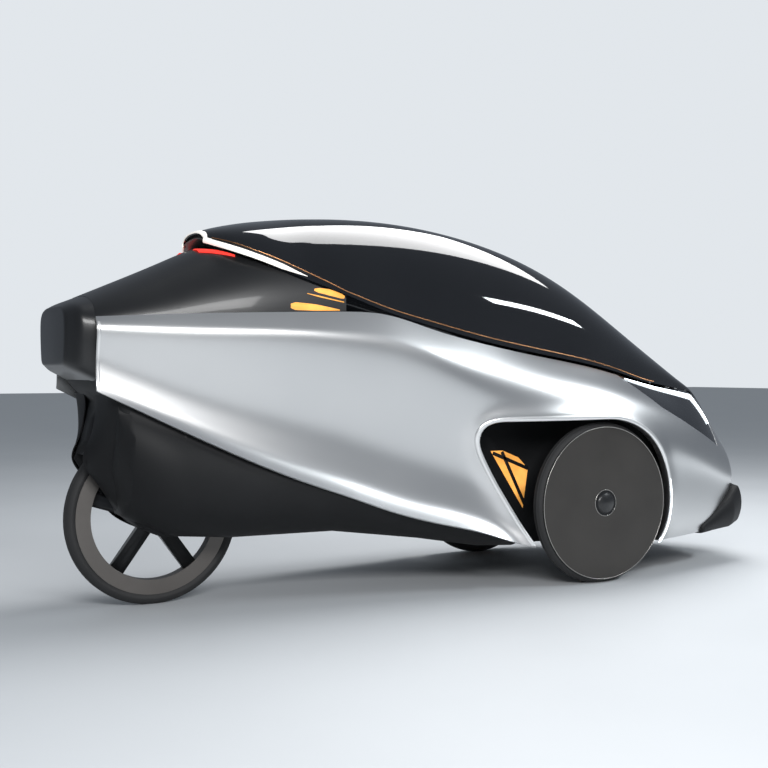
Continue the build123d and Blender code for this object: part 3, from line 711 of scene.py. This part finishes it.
# A strip's section: share of its half width and of its lift
STRIP_SECTION = ((-1, 0.0), (-0.6, 1.0), (0, 1.2), (0.6, 1.0), (1, 0.0))


def edge_strip(name, skin, s, t, half, lift, paint):
    """A raised strip on the canopy's skin at given places, half wide to each side."""
    line = skin.at(s, t)
    centre = skin.at(np.full(1, 0.3), np.full(1, 0.5))[0] - (0, 0, 0.3)
    normal = skin.normal(s, t)
    normal *= np.sign(((line - centre) * normal).sum(axis=1))[:, None]
    across = np.cross(normal, np.gradient(line, axis=0))
    across /= np.linalg.norm(across, axis=1)[:, None] + 1e-12
    rows = [line + across * (half * share)[:, None] + normal * lift * rise for share, rise in STRIP_SECTION]
    piece = mesh_object(name, np.stack(rows, axis=1).reshape(-1, 3), grid_quads(len(s), len(rows)), paint)
    flow = sum((np.array(p.center) - centre) @ np.array(p.normal) * p.area for p in piece.data.polygons)
    if flow < 0:
        piece.data.flip_normals()
    apply(piece, "SOLIDIFY", thickness=0.0015, offset=-1.0)
    smooth_by(piece, 60)
    settle(piece, "canopy")


# Canopy trim: shares across the skin, and drawn x in metres
TRIM_EDGE = 0.011
BLADE_END = -0.515
BLADE_HALF = ([0, 0.75, 1], [0.0085, 0.0075, 0.0008])
COPPER_END = 0.74
COPPER_RISE = ((-0.745, 0.075), (-0.66, 0.036), (-0.53, 0.018), (-0.40, 0.0))
PAINTED_SHADE_END = -0.5


def canopy_trim(skin):
    """The blade over the rear lip with a painted highlight glow, the copper line above it and between the two
    a dark strip of painted shade that hides a reflection in the glass.
    """
    knots = [share_at(skin, x) for x, _ in COPPER_RISE]
    for side, edge, inward in (("right", TRIM_EDGE, 1), ("left", 1 - TRIM_EDGE, -1)):
        s = np.linspace(0.001, share_at(skin, BLADE_END), 60)
        half = np.interp(np.linspace(0, 1, 60), *BLADE_HALF)
        edge_strip("blade_" + side, skin, s, np.full(60, edge), half, 0.003, "blade")
        s = np.linspace(knots[0], share_at(skin, COPPER_END), 200)
        rise = np.interp(s, knots, [rise for _, rise in COPPER_RISE]) * inward
        edge_strip("copper_line_" + side, skin, s, edge + rise, np.full(200, 0.0015), 0.0015, "copper")
        # Matte black strip between blade and copper line: painted shade over the glass where a light's
        # reflection would show
        near = s < share_at(skin, PAINTED_SHADE_END)
        half = np.full(near.sum(), 0.0045)
        edge_strip("blade_painted_shade_" + side, skin, s[near], edge + 0.72 * rise[near], half, 0.001, "black_plastic")
    across = np.linspace(0.012, 0.988, 60)
    edge_strip("blade_lip", skin, np.full(60, 0.004), across, np.full(60, 0.0075), 0.003, "blade")


LIP_FRONT = -0.60


def canopy_lip(skin):
    """The underside and the end of the canopy's rear lip."""
    rows, columns = 24, 31
    edge = skin.at(np.linspace(0.002, share_at(skin, LIP_FRONT), rows), np.zeros(rows))
    across = np.linspace(-0.985, 0.985, columns)
    crown = 0.004 + 0.010 * (1 - across ** 2)
    floor = np.stack([np.column_stack([np.full(columns, x), -y * across, z + crown]) for x, y, z in edge])
    piece = sheet_object("lip_underside", floor, "black_paint", 0.003)
    settle(piece, "canopy")
    arch = skin.at(np.full(columns, 0.002), np.linspace(0.004, 0.996, columns)) - (0, 0, 0.003)
    share = np.linspace(0, 1, 6)[:, None, None]
    cap = arch[None] * (1 - share) + floor[0][None] * share + (0.004, 0, 0)
    cap[:, :, 0] += 0.010 * np.sin(share[:, :, 0] * np.pi)
    piece = sheet_object("lip_end", cap, "black_paint", 0.002)
    settle(piece, "canopy")


# Smooth plan curves of the tub's rear corner: height, then x and y from the rear edge forward, millimetres
REAR_CORNER = [
    (600, (-1056, 60), (-1055, 130), (-1050, 185), (-1033, 206), (-985, 212), (-860, 214)),
    (580, (-1052, 60), (-1051, 130), (-1047, 182), (-1030, 210), (-985, 216), (-860, 216)),
    (530, (-1056, 60), (-1053, 120), (-1045, 170), (-1028, 205), (-985, 220), (-860, 222)),
    (470, (-1072, 60), (-1066, 95), (-1050, 137), (-1028, 176), (-985, 208), (-860, 241)),
    (416, (-1090, 60), (-1078, 88), (-1052, 118), (-1028, 146), (-985, 186), (-860, 217)),
    (368, (-1060, 60), (-1052, 80), (-1038, 102), (-1018, 140), (-980, 168), (-860, 197)),
    (300, (-1014, 60), (-1012, 85), (-1006, 108), (-990, 132), (-950, 148), (-860, 166)),
    (250, (-972, 60), (-970, 90), (-965, 114), (-950, 124), (-920, 133), (-860, 144)),
    (208, (-892, 60), (-891, 95), (-889, 116), (-884, 121), (-875, 124), (-860, 127)),
]


CORNER_ROUNDS, CORNER_LIFT = 50, 0.004


def rear_corners():
    """Smooth black skins over the tub's rear corners."""
    net = [[(x / 1000 + SHIFT, y / 1000, row[0] / 1000) for x, y in row[1:]] for row in REAR_CORNER]
    grid = Skin(net).grid(np.linspace(0, 1, 90), np.linspace(0, 1, 80))
    for _ in range(CORNER_ROUNDS):
        grid[1:-1, 1:-1] = (grid[:-2, 1:-1] + grid[2:, 1:-1] + grid[1:-1, :-2] + grid[1:-1, 2:]) / 4
    out = np.cross(np.gradient(grid, axis=1), np.gradient(grid, axis=0))
    out /= np.linalg.norm(out, axis=2)[:, :, None] + 1e-12
    grid += out * np.sign(out[:, :, 1].mean()) * CORNER_LIFT
    left = sheet_object("rear_corner_left", grid, "black_plastic", 0.003, toward=1)
    right = mirrored(left, "rear_corner_right")
    for piece in (left, right):
        settle(piece, "body")


def rear_deck():
    """The black deck behind the canopy, cut along the canopy's edge."""
    skin = Skin(vault_net(DECK, np.linspace(0, 1, 9)))
    line = np.array(CANOPY_LINE) / 1000 + (SHIFT, -0.006)
    over = np.concatenate([line, [(line[-1][0], 1.4), (line[0][0], 1.4)]])
    points, quads, _ = cut_grid(skin, np.linspace(0, 1, 200), np.linspace(0, 1, 90), [over])
    deck = mesh_object("rear_deck_skin", points, quads, "black_paint")
    drop_loose(deck)
    if sum(p.normal.z * p.area for p in deck.data.polygons) < 0:
        deck.data.flip_normals()
    apply(deck, "SOLIDIFY", thickness=0.004, offset=-1.0)
    smooth_by(deck, 50)
    twin = mirrored(deck, "rear_deck_twin")
    active(deck)
    twin.select_set(True)
    bpy.ops.object.join()
    apply(deck, "WELD", merge_threshold=1e-4)
    settle(deck, "body", ["rear_deck"])
    return skin


# How square each tail section is, and the rim round its end: millimetres back and share of the size
TAIL_POWERS = (0.86, 0.72, 0.60, 0.55)
TAIL_RIM = ((2.5, 0.985), (4.5, 0.955), (5.5, 0.91))


def tail():
    """The closed tail behind the deck, with a rounded rim to its flat end."""
    def loop(power, half, edge, crown, low, foot):
        """One closed section: the arch, a side, the floor and the other side."""
        arch = [vault_point(half, edge, crown, share, power) for share in np.linspace(-1, 1, 49)]
        down = np.linspace(0, 1, 13)[1:-1]
        side = [(half + (foot - half) * k ** 1.6, edge + (low - edge) * k) for k in down]
        floor = [(foot - 2 * foot * k, low) for k in np.linspace(0, 1, 17)]
        other = [(-y, z) for y, z in reversed(side)]
        return np.array(arch + side + floor + other)
    loops = np.array([loop(power, *row[1:]) for power, row in zip(TAIL_POWERS, TAIL)])
    knots = np.array([-row[0] for row in TAIL], float)
    places = np.linspace(knots[0], knots[-1], 24)
    sections = np.einsum("ai,ijk->ajk", basis(knots, places), loops)
    for _ in range(4):
        sections = (np.roll(sections, 1, axis=1) + 2 * sections + np.roll(sections, -1, axis=1)) / 4
    rings = [np.column_stack([np.full(sections.shape[1], -x), part]) for x, part in zip(places, sections)]
    last = rings[-1]
    middle = last.mean(axis=0)
    for back, size in TAIL_RIM:
        ring = middle + (last - middle) * size
        ring[:, 0] = last[0][0] - back
        rings.append(ring)
    verts = np.concatenate(rings) / 1000 + (SHIFT, 0, 0)
    count = sections.shape[1]
    ahead = [(k + 1) % count for k in range(count)]
    faces = [(r * count + k, r * count + ahead[k], (r + 1) * count + ahead[k], (r + 1) * count + k)
             for r in range(len(rings) - 1) for k in range(count)]
    faces.append(tuple((len(rings) - 1) * count + k for k in range(count)))
    piece = mesh_object("tail_skin", verts, faces, "black_paint")
    if sum(p.normal.x * p.area for p in piece.data.polygons) > 0:
        piece.data.flip_normals()
    smooth_by(piece, 40)
    settle(piece, "body", ["tail_panel"])


def cad_copy(name, new_name):
    """A free copy of a CAD node's mesh, merged and painted."""
    twin = nodes[name].copy()
    twin.data = nodes[name].data.copy()
    twin.name = new_name
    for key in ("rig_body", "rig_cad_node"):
        if key in twin:
            del twin[key]
    twin.parent = None
    bpy.context.scene.collection.objects.link(twin)
    made = bmesh.new()
    made.from_mesh(twin.data)
    bmesh.ops.remove_doubles(made, verts=made.verts, dist=1e-5)
    made.to_mesh(twin.data)
    made.free()
    twin.data.materials.clear()
    twin.data.materials.append(PAINTS[SLOTS[name]].material)
    return twin


# Padded pieces and how full they are; the cloth run's last frame and the most that a point may move
CUSHIONS = (("seat_pad", 0.7), ("back_pad", 0.7), ("headrest", 0.8))
CLOTH_FRAMES, CLOTH_CAP = 20, 0.007


def cushion(name):
    """A padded piece: the plain solid blown up a little by a cloth run, its movement capped."""
    piece = cad_copy(name, name + "_cushion")
    apply(piece, "REMESH", mode="VOXEL", voxel_size=0.007)
    rest = np.array([v.co for v in piece.data.vertices])
    cloth = piece.modifiers.new("cloth", "CLOTH")
    cloth.settings.quality = 4
    cloth.settings.use_pressure = True
    cloth.settings.uniform_pressure_force = 4.0
    cloth.settings.effector_weights.gravity = 0.0
    cloth.point_cache.frame_start, cloth.point_cache.frame_end = 1, CLOTH_FRAMES
    for number in range(1, CLOTH_FRAMES + 1):
        bpy.context.scene.frame_set(number)
    grown = piece.evaluated_get(bpy.context.evaluated_depsgraph_get()).to_mesh()
    moved = np.array([v.co for v in grown.vertices]) - rest
    length = np.linalg.norm(moved, axis=1)[:, None]
    moved *= np.minimum(1.0, CLOTH_CAP / np.maximum(length, 1e-9))
    piece.modifiers.remove(cloth)
    piece.data.vertices.foreach_set("co", (rest + moved).ravel())
    bpy.context.scene.frame_set(1)
    apply(piece, "SMOOTH", factor=0.5, iterations=8)
    apply(piece, "SUBSURF", levels=1, render_levels=1)
    smooth_by(piece, 180)
    settle(piece, nodes[name]["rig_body"], [name])


def bumper():
    """The dark bumper with soft edges."""
    piece = cad_copy("front_bumper", "front_bumper_soft")
    apply(piece, "REMESH", mode="VOXEL", voxel_size=0.005)
    apply(piece, "SMOOTH", factor=0.5, iterations=14)
    smooth_by(piece, 180)
    settle(piece, "body", ["front_bumper"])


def ring(name, centre, radius, thick, paint, body):
    """A round ring about a cross axle."""
    bpy.ops.mesh.primitive_torus_add(
        location=centre, rotation=(math.pi / 2, 0, 0), major_radius=radius, minor_radius=thick,
        major_segments=96, minor_segments=10)
    piece = bpy.context.object
    piece.name = name
    bpy.ops.object.transform_apply(location=True, rotation=True, scale=True)
    piece.data.materials.append(PAINTS[paint].material)
    smooth_by(piece, 180)
    return settle(piece, body)


# Wheel trim: radii of the cover's edge line, the hub's line and its dish, and the tread ribs
COVER_EDGE_R, HUB_EDGE_R, HUB_DISH_R = 0.2362, 0.0405, 0.0395
EDGE_THICK = 0.0011
TREAD_R, TREAD_THICK, TREAD_Y = WHEEL_R - 0.0018, 0.0022, 0.006


def cover_reach(side, least, most):
    """How far out a wheel cover stands between two radii."""
    return max(abs(v.co.y) for v in nodes["front_disc_" + side].data.vertices
               if least <= math.hypot(v.co.x - FRONT_X, v.co.z - AXLE_Z) < most)


def wheels():
    """Bright edge lines of the covers, their hub dishes and the tyres' tread ribs."""
    for sign, side in ((1, "left"), (-1, "right")):
        body = "front_wheel_" + side
        rim = sign * cover_reach(side, 0.23, WHEEL_R)
        ring("cover_edge_" + side, (FRONT_X, rim, AXLE_Z), COVER_EDGE_R, EDGE_THICK, "edge_line", body)
        dish = sign * cover_reach(side, 0.0, 0.08)
        ring("hub_edge_" + side, (FRONT_X, dish, AXLE_Z), HUB_EDGE_R, EDGE_THICK, "edge_line", body)
        bpy.ops.mesh.primitive_cylinder_add(
            vertices=64, radius=HUB_DISH_R, depth=0.003, location=(FRONT_X, dish, AXLE_Z),
            rotation=(math.pi / 2, 0, 0))
        piece = bpy.context.object
        piece.name = "hub_dish_" + side
        bpy.ops.object.transform_apply(location=True, rotation=True, scale=True)
        piece.data.materials.append(PAINTS["black_plastic"].material)
        smooth_by(piece, 40)
        settle(piece, body)
        for across, name in ((-TREAD_Y, "in"), (TREAD_Y, "out")):
            ring(f"tread_{side}_{name}", (FRONT_X, sign * (WHEEL_Y + across), AXLE_Z), TREAD_R, TREAD_THICK,
                 "tyre", body)
    for across, name in ((-TREAD_Y, "right"), (TREAD_Y, "left")):
        ring("tread_rear_" + name, (REAR_X, across, AXLE_Z), TREAD_R, TREAD_THICK, "tyre", "rear_wheel")


def sheet_object(name, grid, paint, wall, toward=2):
    """A grid of points as a sheet that faces along an axis, with a wall behind it."""
    piece = mesh_object(name, grid.reshape(-1, 3), grid_quads(*grid.shape[:2]), paint)
    if sum(p.normal[toward] * p.area for p in piece.data.polygons) <= 0:
        piece.data.flip_normals()
    apply(piece, "SOLIDIFY", thickness=wall, offset=-1.0)
    smooth_by(piece, 50)
    return piece


# Strips on the skins: name, drawn path in metres, and shares of its length with the half widths there
HEADLAMP_STRIPS = (
    ("headlamp_bar", [(0.585, 0.635), (0.700, 0.611), (0.815, 0.591), (0.924, 0.571)],
     ((0, 0.35, 1), (0.0004, 0.0042, 0.0088))),
    ("headlamp_hook", [(0.920, 0.576), (0.949, 0.529), (0.975, 0.480)],
     ((0, 0.6, 1), (0.0085, 0.0052, 0.0012))),
)
INDICATOR_STRIPS = (
    ("indicator_upper", [(-0.494, 0.888), (-0.451, 0.882), (-0.405, 0.869)],
     ((0, 0.15, 0.5, 0.9, 1), (0.003, 0.007, 0.009, 0.007, 0.004))),
    ("indicator_line", [(-0.516, 0.877), (-0.463, 0.866), (-0.407, 0.855)],
     ((0, 0.3, 1), (0.0006, 0.002, 0.0015))),
    ("indicator_lower", [(-0.566, 0.841), (-0.494, 0.838), (-0.421, 0.832)],
     ((0, 0.1, 0.5, 1), (0.006, 0.011, 0.009, 0.002))),
)
BRAKE_PATH = [(-0.776, 0.998), (-0.74, 0.991), (-0.70, 0.978)]
BRAKE_HALF = ((0, 0.5, 1), (0.006, 0.0055, 0.002))
PANEL_END = [(-1.092, 0.628), (-1.092, 0.71), (-1.092, 0.788)]
# Lit line along the wheel opening's front: radius, degrees about the axle and half widths
ARCH_LIGHT_R = 0.2655
ARCH_LIGHT_TURN = (14, 4, -6, -16, -26, -33)
ARCH_LIGHT_HALF = ((0, 0.2, 0.8, 1), (0.001, 0.0025, 0.0025, 0.001))
# Bars over the lamps in the wheel wells: drawn ends, and their distance from the middle
WELL_STRUTS = (((0.262, 0.240), (0.176, 0.408)), ((0.275, 0.352), (0.142, 0.405)))
STRUT_Y, STRUT_WALL, STRUT_WIDTH = 0.2075, 0.005, 0.011


def drawn(path):
    """Drawn side-view points in the frame."""
    return [(x + SHIFT, z) for x, z in path]


def lens_strips(name, skin, path, half, lift, thick, paint, nodes_shown, start):
    """A lit lens on each side of the rear deck, standing for the lamp's nodes."""
    pair = ribbon(name, skin, drawn(path), half, lift, thick, paint, start)
    for piece, node in zip(pair, nodes_shown):
        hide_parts(node)


def lamps(skin, deck_skin):
    """Lit strips of the headlamps and wheel openings, lenses on the rear deck and bars in the wheel wells."""
    for name, path, half in HEADLAMP_STRIPS:
        ribbon(name, skin, drawn(path), half, 0.001, 0.002, "led")
    arch_bead(skin)
    # The panel's rear edge as a strip of paler silver: a painted highlight on a real edge
    ribbon("panel_edge", skin, drawn(PANEL_END), 0.004, 0.0004, 0.0014, "highlight_silver", start=0.5)
    turn = [math.radians(degrees) for degrees in ARCH_LIGHT_TURN]
    path = [(FRONT_X + ARCH_LIGHT_R * math.cos(a), AXLE_Z + ARCH_LIGHT_R * math.sin(a)) for a in turn]
    ribbon("arch_light", skin, path, ARCH_LIGHT_HALF, 0.0125, 0.002, "led", start=0.8)
    for name, path, half in INDICATOR_STRIPS:
        lens_strips(name, deck_skin, path, half, 0.0006, 0.002, "amber_lens",
                    ("indicator_left", "indicator_right"), 0.85)
    lens_strips("brake_strip", deck_skin, BRAKE_PATH, BRAKE_HALF, 0.001, 0.004, "red_lens",
                ("tail_lamp", "tail_lamp"), 0.3)
    for sign, side in ((1, "left"), (-1, "right")):
        for number, (low, high) in enumerate(WELL_STRUTS):
            bar(f"well_strut_{side}_{number}", low, high, sign * STRUT_Y, "black_plastic")


def arch_bead(skin):
    """The rolled edge round the wheel openings, above the sill, coloured a paler silver as a painted
    highlight.
    """
    outline = arch_outline(0.006)
    above = outline[:, 1] > 0.122
    start = int(np.argmax(above & ~np.roll(above, 1)))
    outline, above = np.roll(outline, -start, axis=0), np.roll(above, -start)
    ribbon("arch_bead", skin, outline[above], 0.0075, 0.0095, 0.0035, "highlight_silver", start=0.6)


def bar(name, low, high, y, paint):
    """A flat bar in a side-view plane between two drawn points."""
    (x0, z0), (x1, z1) = low, high
    length = math.hypot(x1 - x0, z1 - z0)
    bpy.ops.mesh.primitive_cube_add(
        size=1, location=((x0 + x1) / 2 + SHIFT, y, (z0 + z1) / 2), scale=(length, STRUT_WALL, STRUT_WIDTH),
        rotation=(0, -math.atan2(z1 - z0, x1 - x0), 0))
    piece = bpy.context.object
    piece.name = name
    bpy.ops.object.transform_apply(location=True, rotation=True, scale=True)
    piece.data.materials.append(PAINTS[paint].material)
    apply(piece, "BEVEL", width=0.0015, segments=2)
    smooth_by(piece, 40)
    return settle(piece, "body")


SLOTS = {row["node"]: row["material_slot"] for row in frame["record"]["subparts"]}
# Nodes whose long facets are smoothed over wider angles than the rest
SOFT = {"tub": 62, "rear_wheel_well": 45, "front_wheel_well_left": 45, "front_wheel_well_right": 45}


def finish_rest():
    """CAD pieces that are shown as they are: welded, smooth and painted."""
    for name in [n for n in nodes if not nodes[n].hide_render]:
        twin = cad_copy(name, name + "_skin")
        smooth_by(twin, SOFT.get(name, 32))
        settle(twin, nodes[name]["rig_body"], [name])


def area(name, place, aim, size, power, colour):
    """A soft studio light."""
    data = bpy.data.lights.new(name, "AREA")
    data.shape = "RECTANGLE"
    data.size, data.size_y = size
    data.energy = power
    data.color = colour
    lamp = bpy.data.objects.new(name, data)
    bpy.context.scene.collection.objects.link(lamp)
    lamp.location = place
    lamp.rotation_mode = "QUATERNION"
    lamp.rotation_quaternion = (Vector(aim) - Vector(place)).to_track_quat("-Z", "Y")


# World colours: in reflections, for diffuse light, and to the camera and through glass
WORLD_REFLECTED, WORLD_DIFFUSE, WORLD_SEEN = (0.17, 0.19, 0.22), (0.40, 0.43, 0.46), (0.80, 0.84, 0.88)
WORLD_STRENGTH = 0.95
# Lights: name, place, aim, size, power and colour
LIGHTS = (
    ("key", (-1.3, -3.7, 2.1), (-0.1, 0, 0.5), (2.8, 0.8), 120, (1, 1, 1)),
    ("front", (2.6, -2.2, 2.4), (0.6, 0, 0.4), (1.3, 0.22), 45, (0.92, 0.97, 1.0)),
    ("top", (1.30, 0.70, 3.3), (0.6, 0.4, 0), (2.2, 2.7), 130, (1, 1, 1)),
)
# Camera fitted to the wheels in the photo: place, turn in radians, and focal length in a picture's pixels
CAMERA_PLACE = (-0.981 + REAR_X, -3.166, 0.664)
CAMERA_YAW, CAMERA_PITCH = 0.5003, 0.0124
FOCAL_PX, PICTURE_PX, SENSOR_MM = 1144.7, 768, 36


def backdrop():
    """A plain pale world, darker in reflections so that the silver keeps its tone."""
    world = bpy.data.worlds.new("studio")
    bpy.context.scene.world = world
    world.use_nodes = True
    tree = world.node_tree
    path = tree.nodes.new("ShaderNodeLightPath")
    kinds = ("Camera", "Transmission", "Diffuse")
    camera, glass, diffuse = (Val(tree, path.outputs[f"Is {kind} Ray"]) for kind in kinds)
    colour = WORLD_REFLECTED
    for factor, pale in ((diffuse, WORLD_DIFFUSE), (camera.math("MAXIMUM", glass), WORLD_SEEN)):
        mix = tree.nodes.new("ShaderNodeMix")
        mix.data_type = "RGBA"
        for slot, value in ((0, factor), (6, colour), (7, pale)):
            link(tree, mix.inputs[slot], value)
        colour = Val(tree, mix.outputs[2])
    back = tree.nodes["Background"]
    link(tree, back.inputs["Color"], colour)
    back.inputs["Strength"].default_value = WORLD_STRENGTH


def studio():
    """Pale floor, soft lights and the camera at the photo's place."""
    bpy.ops.mesh.primitive_plane_add(size=60, location=(0, 0, 0))
    floor = bpy.context.object
    floor.name = "floor"
    paint = solid_paint("pale_floor", (0.50, 0.52, 0.54), (0.54, 0.56, 0.58), 0.55, scale=1.5)
    floor.data.materials.append(paint.material)
    backdrop()
    for light in LIGHTS:
        area(*light)
    data = bpy.data.cameras.new("camera")
    data.sensor_width = SENSOR_MM
    data.lens = SENSOR_MM * FOCAL_PX / PICTURE_PX
    camera = bpy.data.objects.new("camera", data)
    bpy.context.scene.collection.objects.link(camera)
    camera.location = CAMERA_PLACE
    level = math.cos(CAMERA_PITCH)
    ahead = Vector((math.sin(CAMERA_YAW) * level, math.cos(CAMERA_YAW) * level, -math.sin(CAMERA_PITCH)))
    camera.rotation_mode = "QUATERNION"
    camera.rotation_quaternion = ahead.to_track_quat("-Z", "Y")
    bpy.context.scene.camera = camera
    bpy.context.scene.view_settings.view_transform = "Standard"


def main():
    """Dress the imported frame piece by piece, then set the studio up."""
    panel_skin = side_panels()
    canopy_skin = Skin(vault_net(CANOPY, np.linspace(-1, 1, 13)))
    grid = fair(canopy_skin, np.linspace(0, 1, 260), np.linspace(0, 1, 120))
    canopy = sheet_object("canopy_glass", grid, "smoked_glass", 0.005)
    settle(canopy, "canopy", ["canopy"])
    canopy_trim(canopy_skin)
    canopy_lip(canopy_skin)
    rear_corners()
    deck_skin = rear_deck()
    tail()
    lamps(panel_skin, deck_skin)
    wheels()
    for name, fill in CUSHIONS:
        cushion(name)
    bumper()
    finish_rest()
    studio()


main()
